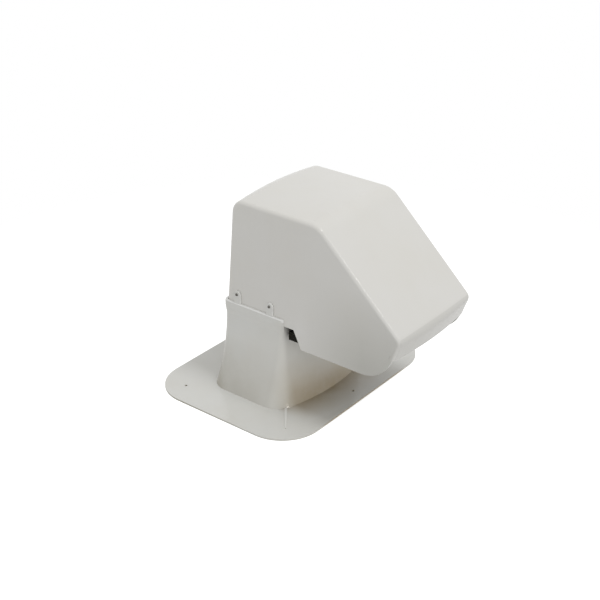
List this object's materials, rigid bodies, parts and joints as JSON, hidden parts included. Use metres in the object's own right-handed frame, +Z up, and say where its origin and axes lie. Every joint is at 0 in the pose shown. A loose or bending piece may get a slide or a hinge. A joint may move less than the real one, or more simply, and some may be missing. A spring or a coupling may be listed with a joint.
{
  "type": "roof vent outlet",
  "caption": "Moulded white roof vent outlet: flared base on a flat flange, forward-leaning hood seated in a socket collar, meshed downward outlet.",
  "frame": {"origin": "centre of the flange on its underside, which is also the centre of the throat", "axes": "+X from the throat towards the outlet, +Y across the hood, +Z up out of the roof"},
  "size_m": [0.4533, 0.414, 0.3545],
  "materials": {
    "base_shell": "off-white moulded shell, soft gloss, faintly uneven",
    "hood_shell": "off-white moulded shell, soft gloss",
    "mesh": "black woven mesh",
    "screw": "dull zinc-plated pan head"
  },
  "bodies": {
    "root": {"roof_base": "base_shell", "hood": "hood_shell", "outlet_mesh": "mesh", "hood_screws": "screw"}
  },
  "joints": []
}
